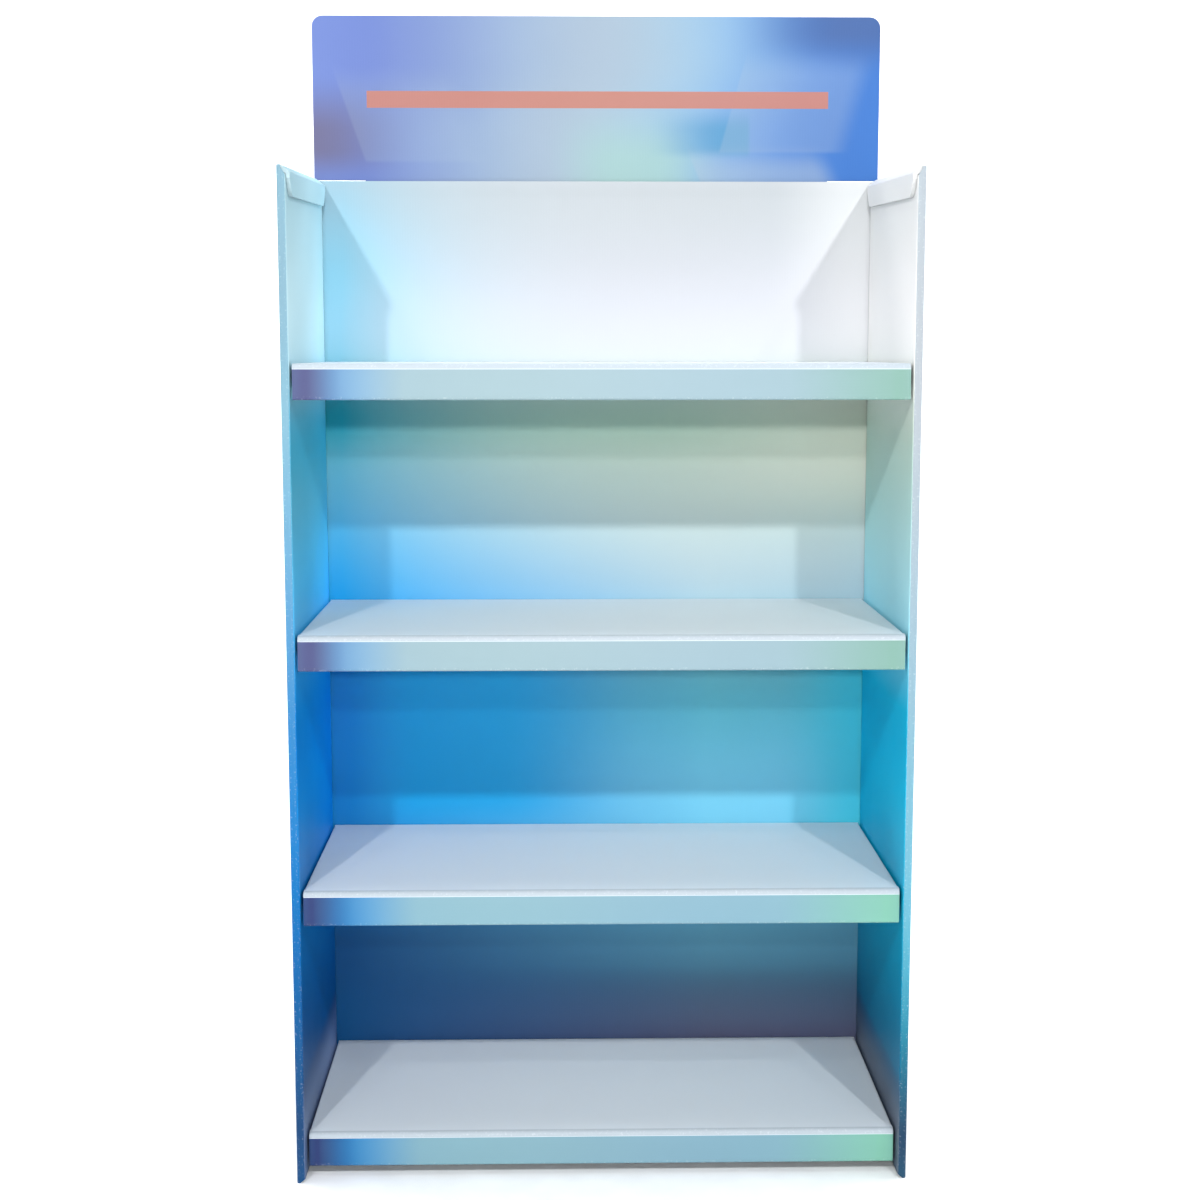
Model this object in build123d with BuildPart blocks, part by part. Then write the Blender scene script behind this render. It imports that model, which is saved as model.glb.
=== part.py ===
from build123d import *
import os

# Floor display stand of folded corrugated board, in millimetres. The stand faces -Y, stands on
# z = 0 and is centred on the origin in plan. Every piece is one die-cut sheet, creased and folded.

# Board
board = 4.5  # thickness of the corrugated board
crease = 2.5  # outer radius of a creased fold

# Shell: outer back and double side walls, folded from one sheet
stand_width = 740.0  # over the outer side walls
bay_depth = 344.0  # front edge of the sides to the face of the back liner
back_height = 1222.0  # top of the back and of the rear end of the sides
side_fall = 12.5  # fall of the sides' top edge from the back to the front edge
wall_gap = 1.0  # air between the two layers of a side wall
inner_foot = 4.5  # the inner layer stops short of the floor by this much
corner_gap = 3.0  # the inner layer stops short of the liner by this much
tuck_setback = 6.0  # front end of a tuck flap at its fold, behind the front edge
tuck_depth = 36.0  # lower edge of a tuck flap below its fold
tuck_fall = 8.0  # fall of a tuck flap on its way across the two layers
tuck_lean = 16.0  # the ends of a tuck flap lean in by this much at its lower edge
tuck_rise = 1.5  # a tuck flap's fold above the raw edge beside it
tuck_clear = 0.3  # tuck flap to the inner layer
tuck_corner = 8.0  # rounded lower corners of a tuck flap

# Back liner, with hems folded flat behind it that leave a pocket for the header card
liner_clear = 0.5  # liner to the outer side walls
liner_drop = 1.5  # top of the liner below the top of the back
hem_gap = 0.5  # air between the liner and its hems
hem_width = 60.0

# Header card, as wide as the stand
header_rise = 209.5  # visible height, above the top of the back
header_corner = 14.0
header_clear = 0.25  # card to the liner in front of it
tongue_depth = 110.0  # below the top of the back
tongue_corner = 20.0
tongue_clear = 2.0  # tongue to the hems beside it
seat_land = 2.0  # level edge in front of the card, where its shoulders sit

# Shelves: name, height of the deck, setback of the lip behind the front edge
shelves = [
    ("top_shelf", 986.0, 3.0),
    ("upper_shelf", 669.0, 4.0),
    ("lower_shelf", 359.5, 10.0),
    ("bottom_shelf", 54.5, 20.0),
]
shelf_side_clear = 2.5  # shelf to the inner side walls
shelf_rear_clear = 1.0  # shelf to the liner
lip_height = 42.0
lip_crease = 5.5  # outer radius of the soft fold along the front of a deck
lip_gap = 1.0  # air between the lip and its return
lip_trim = 0.5  # ends of the lip inside the faces of the side flanges
return_clear = 1.0  # top of the return below the deck
flange_depth = 26.0  # side and rear flanges, from the top of the deck
flange_relief = 2.0  # ends of the side flanges to the lip and the rear flange
tab_length = 50.0
tab_reach = 0.5  # tip of a tab past the board that it goes through
tab_clear = 0.6  # slot to tab, at the ends and above
side_tab_inset = 70.0  # middle of a side tab from the front edge and from the liner
rear_tab_offset = 200.0  # middle of a rear tab from the middle of the stand

# Places that follow from the sizes above
strip = 2 * board + wall_gap
hem_fold = 2 * board + hem_gap
stand_depth = bay_depth + hem_fold + board
half_width = stand_width / 2
inner_half = half_width - strip
y_front = -stand_depth / 2
y_back = stand_depth / 2
y_liner = y_front + bay_depth
y_inner_end = y_liner - corner_gap
y_header = y_liner + board + header_clear
y_seat = y_header - seat_land
liner_half = half_width - board - liner_clear
liner_height = back_height - liner_drop
tongue_half = liner_half - hem_width - tongue_clear
shelf_half = inner_half - shelf_side_clear
y_shelf_end = y_liner - shelf_rear_clear
side_tabs = [y_front + side_tab_inset, y_liner - side_tab_inset]
side_tab_tip = inner_half + board + tab_reach
rear_tab_tip = y_liner + board + tab_reach
slot_length = tab_length + 2 * tab_clear
slot_height = board + tab_clear
slot_middles = [top - flange_depth - board + slot_height / 2 for _, top, _ in shelves]

# Raw top edge of the sides: it climbs from the front edge to the seat of the header card
edge_run = y_seat - y_front
edge_slope = side_fall / edge_run
edge_length = (edge_run**2 + side_fall**2) ** 0.5
along_edge = (0, edge_run, side_fall)
side_front_height = back_height - side_fall

# Inner corner of a tuck flap's bend below its fold, and the inner layer's edge under it
tuck_span = strip + tuck_clear
tuck_slant = (tuck_span**2 + tuck_fall**2) ** 0.5
tuck_bend = tuck_fall + board / 2 * (1 + (tuck_slant - tuck_fall) / tuck_span)
inner_drop = tuck_bend + tuck_clear - tuck_rise

os.makedirs("parts", exist_ok=True)


# Shell. The right half is folded and cut, then mirrored.
with BuildPart() as body_shell:
    with BuildSketch() as shell_plan:
        with BuildLine():
            Polyline(
                (0, y_back - board / 2),
                (half_width - board / 2, y_back - board / 2),
                (half_width - board / 2, y_front + board / 2),
                (inner_half + board / 2, y_front + board / 2),
                (inner_half + board / 2, y_inner_end),
            )
        trace(line_width=board)
        fillet(shell_plan.vertices().group_by(Axis.Y)[0], crease)
        fillet(shell_plan.vertices().group_by(Axis.Y)[-1].sort_by(Axis.X)[-1], crease)
    extrude(amount=back_height)

    # Sloping top edge of both layers
    with BuildSketch(Plane.YZ):
        with BuildLine():
            Polyline(
                (y_front, side_front_height),
                (y_seat, back_height),
                (y_front, back_height),
                close=True,
            )
        make_face()
    extrude(amount=half_width, mode=Mode.SUBTRACT)

    # The inner layer is cut short at the floor and under the tuck flap
    y_inner = y_front + board
    z_inner = side_front_height + edge_slope * board
    z_inner_end = side_front_height + edge_slope * (y_inner_end - y_front)
    with BuildSketch(Plane.YZ.offset(inner_half)):
        with BuildLine():
            Polyline(
                (y_inner, z_inner - inner_drop),
                (y_inner_end, z_inner_end - inner_drop),
                (y_inner_end, z_inner_end),
                (y_inner, z_inner),
                close=True,
            )
        make_face()
        with Locations((y_inner, 0)):
            Rectangle(y_inner_end - y_inner, inner_foot, align=(Align.MIN, Align.MIN))
    extrude(amount=board, mode=Mode.SUBTRACT)

    # The front edge is cut on a slant between the outer and the inner layer, top and bottom
    with BuildSketch(Plane.XZ.offset(-y_front)):
        with BuildLine():
            Polyline(
                (half_width - board, 0),
                (inner_half, inner_foot),
                (inner_half, 0),
                close=True,
            )
        make_face()
    extrude(amount=-board, mode=Mode.SUBTRACT)
    with BuildSketch(Plane.XZ.offset(-y_front)):
        with BuildLine():
            Polyline(
                (half_width - board, side_front_height),
                (inner_half, side_front_height - inner_drop),
                (inner_half, side_front_height),
                close=True,
            )
        make_face()
    extrude(amount=board * edge_length / edge_run, dir=along_edge, mode=Mode.SUBTRACT)

    # Tuck flap: it grows out of the outer layer, is folded over it and slopes down across both layers
    y_tuck = y_front + tuck_setback
    tuck_run = y_inner_end - y_tuck
    tuck_top = side_front_height + edge_slope * tuck_setback + tuck_rise
    tuck_top_end = tuck_top + edge_slope * tuck_run
    tuck_face = inner_half - tuck_clear - board / 2
    tuck_hang = tuck_bend + board
    with BuildSketch(Plane.YZ):
        with BuildLine():
            Polyline(
                (y_tuck, tuck_top - tuck_bend),
                (y_inner_end, tuck_top_end - tuck_bend),
                (y_inner_end, tuck_top_end),
                (y_tuck, tuck_top),
                close=True,
            )
        make_face()
    extrude(amount=half_width, mode=Mode.SUBTRACT)
    with BuildSketch(Plane.XZ.offset(-y_tuck)) as tuck_section:
        with BuildLine():
            Polyline(
                (half_width - board / 2, tuck_top - tuck_bend),
                (half_width - board / 2, tuck_top - board / 2),
                (tuck_face, tuck_top - board / 2 - tuck_fall),
                (tuck_face, tuck_top - tuck_hang),
            )
        trace(line_width=board)
        fillet(tuck_section.vertices().group_by(Axis.Y)[-1], crease)
        fillet(tuck_section.vertices().group_by(Axis.X)[0].sort_by(Axis.Y)[-1], crease)
    extrude(amount=tuck_run * edge_length / edge_run, dir=along_edge)

    # The rest of the flap hangs down the inner face, with leaning ends and rounded corners
    with BuildSketch(Plane.YZ.offset(tuck_face - board / 2)) as tuck_drop:
        with BuildLine():
            Polyline(
                (y_tuck, tuck_top - tuck_hang),
                (y_tuck + tuck_lean, tuck_top + edge_slope * tuck_lean - tuck_depth),
                (y_inner_end - tuck_lean, tuck_top_end - edge_slope * tuck_lean - tuck_depth),
                (y_inner_end, tuck_top_end - tuck_hang),
                close=True,
            )
        make_face()
        fillet(tuck_drop.vertices().sort_by(Axis.X)[1:3], tuck_corner)
    extrude(amount=board)

    # Slots for the shelves' side tabs
    with BuildSketch(Plane.YZ.offset(inner_half)):
        with Locations([(y, z) for y in side_tabs for z in slot_middles]):
            Rectangle(slot_length, slot_height)
    extrude(amount=board, mode=Mode.SUBTRACT)

    mirror(about=Plane.YZ)
body_shell.part.label = "body_shell"
export_step(body_shell.part, "parts/body_shell.step")


# Back liner. The right half is folded and slotted, then mirrored.
with BuildPart() as back_liner:
    with BuildSketch() as liner_plan:
        with BuildLine():
            Polyline(
                (0, y_liner + board / 2),
                (liner_half - board / 2, y_liner + board / 2),
                (liner_half - board / 2, y_liner + hem_fold - board / 2),
                (liner_half - hem_width, y_liner + hem_fold - board / 2),
            )
        trace(line_width=board)
        fillet(liner_plan.vertices().group_by(Axis.X)[-1], crease)
    extrude(amount=liner_height)
    with BuildSketch(Plane.XZ.offset(-y_liner)):
        with Locations([(rear_tab_offset, z) for z in slot_middles]):
            Rectangle(slot_length, slot_height)
    extrude(amount=-board, mode=Mode.SUBTRACT)
    mirror(about=Plane.YZ)
back_liner.part.label = "back_liner"
export_step(back_liner.part, "parts/back_liner.step")


# Header card, with its tongue in the pocket behind the liner
with BuildPart() as header_card:
    with BuildSketch(Plane.XZ.offset(-y_header)) as header_outline:
        with Locations((0, back_height)):
            Rectangle(stand_width, header_rise, align=(Align.CENTER, Align.MIN))
            Rectangle(2 * tongue_half, tongue_depth, align=(Align.CENTER, Align.MAX))
        fillet(header_outline.vertices().group_by(Axis.Y)[-1], header_corner)
        fillet(header_outline.vertices().group_by(Axis.Y)[0], tongue_corner)
    extrude(amount=-board)
header_card.part.label = "header_card"
export_step(header_card.part, "parts/header_card.step")


# Shelf trays. The right half of each is folded, then mirrored.
for name, top, setback in shelves:
    y_lip = y_front + setback
    y_return = y_lip + 2 * board + lip_gap
    y_flange = y_return + flange_relief
    flange_run = y_shelf_end - board - flange_relief - y_flange
    deck_middle = top - board / 2
    flange_end = top - flange_depth
    tab_middle = flange_end - board / 2

    with BuildPart() as shelf:
        # Return, lip, deck and rear flange, in side view
        with BuildSketch(Plane.YZ) as tray_section:
            with BuildLine():
                Polyline(
                    (y_return - board / 2, top - board - return_clear),
                    (y_return - board / 2, top - lip_height + board / 2),
                    (y_lip + board / 2, top - lip_height + board / 2),
                    (y_lip + board / 2, deck_middle),
                    (y_shelf_end - board / 2, deck_middle),
                    (y_shelf_end - board / 2, flange_end),
                )
            trace(line_width=board)
            fillet(tray_section.vertices().group_by(Axis.Y)[0], crease)
            fillet(tray_section.vertices().group_by(Axis.Y)[-1].sort_by(Axis.X)[0], lip_crease)
            fillet(tray_section.vertices().group_by(Axis.Y)[-1].sort_by(Axis.X)[-1], crease)
        extrude(amount=shelf_half - lip_trim)

        # Deck and side flange, in front view
        with BuildSketch(Plane.XZ.offset(-y_flange)) as flange_section:
            with BuildLine():
                Polyline(
                    (0, deck_middle),
                    (shelf_half - board / 2, deck_middle),
                    (shelf_half - board / 2, flange_end),
                )
            trace(line_width=board)
            fillet(flange_section.vertices().group_by(Axis.Y)[-1].sort_by(Axis.X)[-1], crease)
        extrude(amount=-flange_run)

        # Tabs folded outwards from the lower edge of the side flange
        for y_tab in side_tabs:
            with BuildSketch(Plane.XZ.offset(-y_tab)) as side_tab:
                with BuildLine():
                    Polyline(
                        (shelf_half - board / 2, flange_end + board),
                        (shelf_half - board / 2, tab_middle),
                        (side_tab_tip, tab_middle),
                    )
                trace(line_width=board)
                fillet(side_tab.vertices().group_by(Axis.Y)[0].sort_by(Axis.X)[0], crease)
            extrude(amount=tab_length / 2, both=True)

        # Tab folded backwards from the lower edge of the rear flange
        with BuildSketch(Plane.YZ.offset(rear_tab_offset)) as rear_tab:
            with BuildLine():
                Polyline(
                    (y_shelf_end - board / 2, flange_end + board),
                    (y_shelf_end - board / 2, tab_middle),
                    (rear_tab_tip, tab_middle),
                )
            trace(line_width=board)
            fillet(rear_tab.vertices().group_by(Axis.Y)[0].sort_by(Axis.X)[0], crease)
        extrude(amount=tab_length / 2, both=True)

        mirror(about=Plane.YZ)
    shelf.part.label = name
    export_step(shelf.part, f"parts/{name}.step")
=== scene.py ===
import math

import bpy
import numpy as np
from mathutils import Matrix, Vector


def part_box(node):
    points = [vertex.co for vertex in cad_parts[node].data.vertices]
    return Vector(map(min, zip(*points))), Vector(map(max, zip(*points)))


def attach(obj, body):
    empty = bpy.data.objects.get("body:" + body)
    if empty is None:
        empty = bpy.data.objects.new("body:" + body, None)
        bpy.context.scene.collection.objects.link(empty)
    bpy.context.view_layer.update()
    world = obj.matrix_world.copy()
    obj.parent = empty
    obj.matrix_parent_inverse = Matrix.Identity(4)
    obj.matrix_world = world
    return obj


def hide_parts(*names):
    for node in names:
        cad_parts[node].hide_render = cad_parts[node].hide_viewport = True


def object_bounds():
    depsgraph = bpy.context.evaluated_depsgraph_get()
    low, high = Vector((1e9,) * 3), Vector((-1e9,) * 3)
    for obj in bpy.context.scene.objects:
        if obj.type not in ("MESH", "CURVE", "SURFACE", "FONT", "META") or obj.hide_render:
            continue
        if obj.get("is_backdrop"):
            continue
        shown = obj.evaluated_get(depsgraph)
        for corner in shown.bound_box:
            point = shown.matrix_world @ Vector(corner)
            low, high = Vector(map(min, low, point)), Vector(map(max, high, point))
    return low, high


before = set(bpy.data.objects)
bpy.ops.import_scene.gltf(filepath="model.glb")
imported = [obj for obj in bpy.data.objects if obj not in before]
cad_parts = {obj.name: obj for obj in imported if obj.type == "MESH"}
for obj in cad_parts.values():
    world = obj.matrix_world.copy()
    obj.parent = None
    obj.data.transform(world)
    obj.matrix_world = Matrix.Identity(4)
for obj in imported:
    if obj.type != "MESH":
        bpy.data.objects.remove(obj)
cad_box = [list(corner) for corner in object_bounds()]


# Body shell: one die-cut sheet of double-wall corrugated board, printed on its outer face under a
# satin film. It is creased into back, outer sides, front edges and inner side walls, and a tuck
# flap folded over the top of each side holds the two layers together.
MM = 0.001
BOARD = 4.5 * MM
CREASE = 2.5 * MM
FACING = 0.35 * MM
FLUTE_SHOW = 1.6 * MM
FLUTE_SINK = 0.06 * MM
FLUTE_ROOT = 0.2 * MM
FLUTE_PITCH = 3.5 * MM
STEP = 0.01 * MM
SHARP_ANGLE = math.radians(28)
PRINT_SLOT = 0
REVERSE_SLOT = 1
EDGE_SLOT = 2
ROLLED_SLOT = 3

shell_low, shell_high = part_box("body_shell")
liner_low, liner_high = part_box("back_liner")
half_width = shell_high.x
front = shell_low.y
rear = shell_high.y
header_rise = 209.5 * MM
back_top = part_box("header_card")[1].z - header_rise
wall_gap = 1.0 * MM
inner_half = half_width - 2 * BOARD - wall_gap
liner_face = liner_low.y
corner_gap = 3.0 * MM
inner_end = liner_face - corner_gap
inner_foot = 4.5 * MM
side_fall = 12.5 * MM
seat_land = 2.0 * MM
header_clear = 0.25 * MM
seat = liner_face + BOARD + header_clear - seat_land
edge_slope = side_fall / (seat - front)
tuck_setback = 6.0 * MM
tuck_start = front + tuck_setback
tuck_end = inner_end
tuck_rise = 1.5 * MM
tuck_clear = 0.3 * MM
tuck_depth = 36.0 * MM
tuck_fall = 8.0 * MM
tuck_lean = 16.0 * MM
tuck_corner = 8.0 * MM
tuck_notch = 8.0 * MM
tuck_span = 2 * BOARD + wall_gap + tuck_clear
tuck_slant = math.hypot(tuck_span, tuck_fall)
tuck_bend = tuck_fall + BOARD / 2 * (1 + (tuck_slant - tuck_fall) / tuck_span)
inner_drop = tuck_bend + tuck_clear - tuck_rise
side_tab_inset = 70.0 * MM
tab_length = 50.0 * MM
tab_clear = 0.6 * MM
flange_depth = 26.0 * MM
shelf_names = ["top_shelf", "upper_shelf", "lower_shelf", "bottom_shelf"]
deck_tops = [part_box(name)[1].z for name in shelf_names]


def folded(corners, creases, marks=None, tight=0.1 * MM, bend_steps=7):
    """Section of a folded board: runs joined by creases. Along a run, a point of each face is the
    centre line plus or minus half the board along the left normal. At a crease each face turns on
    an arc of its own about the mitred corner, wide outside and tight inside, in equal angles.
    Gives the near (left) face, the far face, the way along the flat sheet, and 1 on the creases."""
    slack = 0.05 * MM
    row_inset = 1 * MM
    short_run = 4 * MM
    corners = np.array(corners, float)
    marks = marks or {}
    legs = np.diff(corners, axis=0)
    lengths = np.linalg.norm(legs, axis=1)
    ways = legs / lengths[:, None]
    lefts = np.stack([-ways[:, 1], ways[:, 0]], axis=1)
    crossed = ways[:-1, 0] * ways[1:, 1] - ways[:-1, 1] * ways[1:, 0]
    turns = np.arctan2(crossed, np.sum(ways[:-1] * ways[1:], axis=1))
    creases = np.broadcast_to(np.asarray(creases, float), turns.shape)
    slants = np.tan(np.abs(turns) / 2)
    trims = np.maximum((creases - BOARD / 2) * slants, (BOARD / 2 + tight) * slants) + slack
    starts = np.append(0, trims)
    ends = lengths - np.append(trims, 0)
    sums = np.append(0, np.cumsum(lengths))
    near, far, flat, bent = [], [], [], []
    for k in range(len(lengths)):
        along = [starts[k], ends[k], *marks.get(k, [])]
        if ends[k] - starts[k] > short_run:
            along += [starts[k] + row_inset, ends[k] - row_inset]
        along = np.unique(along)
        middle = corners[k] + along[:, None] * ways[k]
        near.append(middle + lefts[k] * BOARD / 2)
        far.append(middle - lefts[k] * BOARD / 2)
        flat.append(sums[k] + along)
        bent.append(np.zeros(len(along)))
        if k == len(turns):
            break
        sense = np.sign(turns[k])
        angle = np.linspace(0, turns[k], bend_steps)[:, None]
        mitre = (lefts[k] + lefts[k + 1]) / (1 + lefts[k] @ lefts[k + 1])
        for side, face in ((1, near), (-1, far)):
            radius = tight if side * sense > 0 else creases[k]
            tip = corners[k + 1] + side * BOARD / 2 * mitre
            centre = tip - ways[k] * radius * slants[k] + sense * lefts[k] * radius
            face.append(centre + sense * radius * (np.sin(angle) * ways[k] - np.cos(angle) * lefts[k]))
        flat.append(np.linspace(flat[-1][-1], sums[k + 1] + starts[k + 1], bend_steps + 2)[1:-1])
        bent.append(np.ones(bend_steps))
    return tuple(np.concatenate(part) for part in (near, far, flat, bent))


def strip_quads(rows):
    """Quads between neighbouring rows of vertex numbers, taken along the rows."""
    a, b = rows[:-1], rows[1:]
    return np.stack([a[:, :-1], b[:, :-1], b[:, 1:], a[:, 1:]], axis=-1).reshape(-1, 4)


def ribbon(section, edge, sense, centre, half, top, depth, pitch):
    """Thin paper standing in a raw edge: a bar whose middle lies at the part centre(s) of the way
    from the near to the far face, 2 half thick, from top to depth below the edge, closed at its ends."""
    end_gap = 1 * MM
    near, far, flat, _ = section
    s = np.arange(flat[0] + end_gap, flat[-1] - end_gap, pitch)
    at = lambda values: np.interp(s, flat, values)
    a = np.stack([at(near[:, 0]), at(near[:, 1])], axis=1)
    b = np.stack([at(far[:, 0]), at(far[:, 1])], axis=1)
    level = at(edge)
    middle = np.broadcast_to(centre(s), s.shape)
    rows = []
    for part, drop in ((-half, depth), (-half, top), (half, top), (half, depth)):
        place = a + (b - a) * (middle + part)[:, None]
        rows.append(np.column_stack([place, level - sense * drop]))
    count = len(s)
    ids = np.arange(4 * count).reshape(4, count)
    quads = strip_quads(np.concatenate([ids, ids[:1]]))
    caps = np.stack([ids[::-1, 0], ids[:, -1]])
    faces = np.concatenate([quads, caps])
    if sense < 0:
        faces = faces[:, ::-1]
    flats = np.column_stack([s, level, np.zeros(count)])
    return np.concatenate(rows), np.tile(flats, (4, 1)), faces


# The papers inside the board, a fine wave, a coarse wave and the flat liner between them: how deep
# below the print, the wave's swing and length, half the paper's thickness, and the points' spacing.
papers = [
    (0.95 * MM, 0.48 * MM, FLUTE_PITCH, 0.10 * MM, 0.58 * MM),
    (3.02 * MM, 0.98 * MM, 6.4 * MM, 0.12 * MM, 0.80 * MM),
    (1.74 * MM, 0.0, FLUTE_PITCH, 0.16 * MM, 2.00 * MM),
]


def sheet(section, low, high, axes=(0, 1, 2), levels=(), holes=(), channels=True, shear=0.0):
    """A folded board as one closed mesh: the section carried from low(s) to high(s) along the third
    axis, with rows at the levels, cells left out where holes are, walls round them, and raw ends.
    A raw end across the flutes is a channel between two liners that holds the middle liner and
    two waves of fluting, a fine one under the print and a coarse one behind it. Gives the vertices,
    their places on the flat sheet, the quads, the end caps, and each face's material slot."""
    near, far, flat, bent = section
    count = len(flat)
    low = np.broadcast_to(low, flat.shape)
    high = np.broadcast_to(high, flat.shape)
    rows = np.column_stack([low] + [np.full(count, level) for level in sorted(levels)] + [high])
    steps = rows.shape[1]
    spread = lambda values: np.repeat(values[:, None], steps, 1)
    face_flat = np.stack([spread(flat), rows, spread(bent)], axis=-1)
    lay = lambda face: np.concatenate([spread(face), rows[..., None]], axis=-1)
    verts = [lay(near).reshape(-1, 3), lay(far).reshape(-1, 3)]
    flats = [face_flat.reshape(-1, 3)] * 2
    n = np.arange(count * steps).reshape(count, steps)
    f = n + count * steps
    total = 2 * count * steps

    middle_s = (flat[:-1] + flat[1:]) / 2
    middle_w = (rows[:-1, :-1] + rows[1:, 1:]) / 2
    keep = np.ones((count - 1, steps - 1), bool)
    for s0, s1, w0, w1 in holes:
        across = (middle_s[:, None] > s0) & (middle_s[:, None] < s1)
        keep &= ~(across & (middle_w > w0) & (middle_w < w1))
    corner = lambda ids: (ids[:-1, :-1], ids[:-1, 1:], ids[1:, 1:], ids[1:, :-1])
    near_quads = np.stack(corner(n), axis=-1)[keep]
    far_quads = np.stack(corner(f)[::-1], axis=-1)[keep]

    walls = []
    padded = np.pad(keep, 1)
    before, after = padded[1:-2, 1:-1], padded[2:-1, 1:-1]
    for mask, turn in ((before & ~after, 1), (~before & after, -1)):
        i, j = np.nonzero(mask)
        i = i + 1
        walls.append(np.stack([n[i, j], n[i, j + 1], f[i, j + 1], f[i, j]], axis=-1)[:, ::turn])
    below, above = keep[:, :-1], keep[:, 1:]
    for mask, turn in ((below & ~above, 1), (~below & above, -1)):
        i, j = np.nonzero(mask)
        j = j + 1
        walls.append(np.stack([n[i, j], f[i, j], f[i + 1, j], n[i + 1, j]], axis=-1)[:, ::turn])

    ends = {}
    for sense, column in ((1, -1), (-1, 0)):
        lanes = [n[:, column]]
        if channels:
            inner = BOARD - FACING
            for part, drop in ((FACING, 0), (FACING, FLUTE_SHOW), (inner, FLUTE_SHOW), (inner, 0)):
                place = near + (far - near) * part / BOARD
                verts.append(np.column_stack([place, rows[:, column] - sense * drop]))
                flats.append(np.column_stack([flat, rows[:, column], bent]))
                lanes.append(total + np.arange(count))
                total += count
        lanes.append(f[:, column])
        lanes = np.array(lanes)
        walls.append(strip_quads(lanes)[:, ::sense])
        ends[sense] = lanes[1:-1]

    caps = []
    for i, turn in ((count - 1, 1), (0, -1)):
        for j in np.nonzero(keep[min(i, count - 2)])[0]:
            top = list(ends[1][:, i]) if j == steps - 2 else []
            foot = list(ends[-1][::-1, i]) if j == 0 else []
            loop = [n[i, j], n[i, j + 1]] + top + [f[i, j + 1], f[i, j]] + foot
            caps.append(np.array(loop[::turn]))

    raw = [np.concatenate(walls)]
    if channels:
        for edge, sense in ((high, 1), (low, -1)):
            for depth, swing, wave, half_paper, pitch in papers:
                centre = lambda s: (depth + swing * np.sin(2 * np.pi * s / wave)) / BOARD
                half = half_paper / BOARD
                root = FLUTE_SHOW + FLUTE_ROOT
                made = ribbon(section, edge, sense, centre, half, FLUTE_SINK, root, pitch)
                verts.append(made[0])
                flats.append(made[1])
                raw.append(made[2] + total)
                total += len(made[0])
    verts = np.concatenate(verts)
    verts[:, 1] += shear * (verts[:, 2] - low.min())
    placed = np.empty_like(verts)
    placed[:, list(axes)] = verts
    raw = np.concatenate(raw)
    quads = np.concatenate([near_quads, far_quads, raw])
    counts = [len(near_quads), len(far_quads), len(raw) + len(caps)]
    slots = np.repeat([PRINT_SLOT, REVERSE_SLOT, EDGE_SLOT], counts)
    if axes == (0, 2, 1):
        quads = quads[:, ::-1]
        caps = [cap[::-1] for cap in caps]
    return placed, np.concatenate(flats), quads, caps, slots


def mirrored(part):
    """The same part with x turned to -x and its faces wound the other way."""
    verts, flats, quads, caps, slots = part
    return verts * [-1, 1, 1], flats, quads[:, ::-1], [cap[::-1] for cap in caps], slots


def put_together(name, parts, materials):
    """One object from the parts: their vertices in a row, smooth over the creases and sharp at cut
    edges, with the flat-sheet place of every vertex in the attribute flat."""
    offsets = np.cumsum([0] + [len(part[0]) for part in parts])
    verts = np.concatenate([part[0] for part in parts])
    flats = np.concatenate([part[1] for part in parts])
    faces = []
    for (_, _, quads, caps, _), offset in zip(parts, offsets):
        faces += (quads + offset).tolist() + [(cap + offset).tolist() for cap in caps]
    slots = np.concatenate([part[4] for part in parts])
    mesh = bpy.data.meshes.new(name)
    mesh.from_pydata(verts.tolist(), [], faces)
    mesh.polygons.foreach_set("material_index", slots.astype(np.int32))
    mesh.polygons.foreach_set("use_smooth", np.ones(len(faces), bool))
    mesh.set_sharp_from_angle(angle=SHARP_ANGLE)
    flat_place = mesh.attributes.new("flat", "FLOAT_VECTOR", "POINT")
    flat_place.data.foreach_set("vector", flats.ravel())
    for material in materials:
        mesh.materials.append(material)
    mesh.update()
    piece = bpy.data.objects.new(name, mesh)
    bpy.context.scene.collection.objects.link(piece)
    return piece


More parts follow.
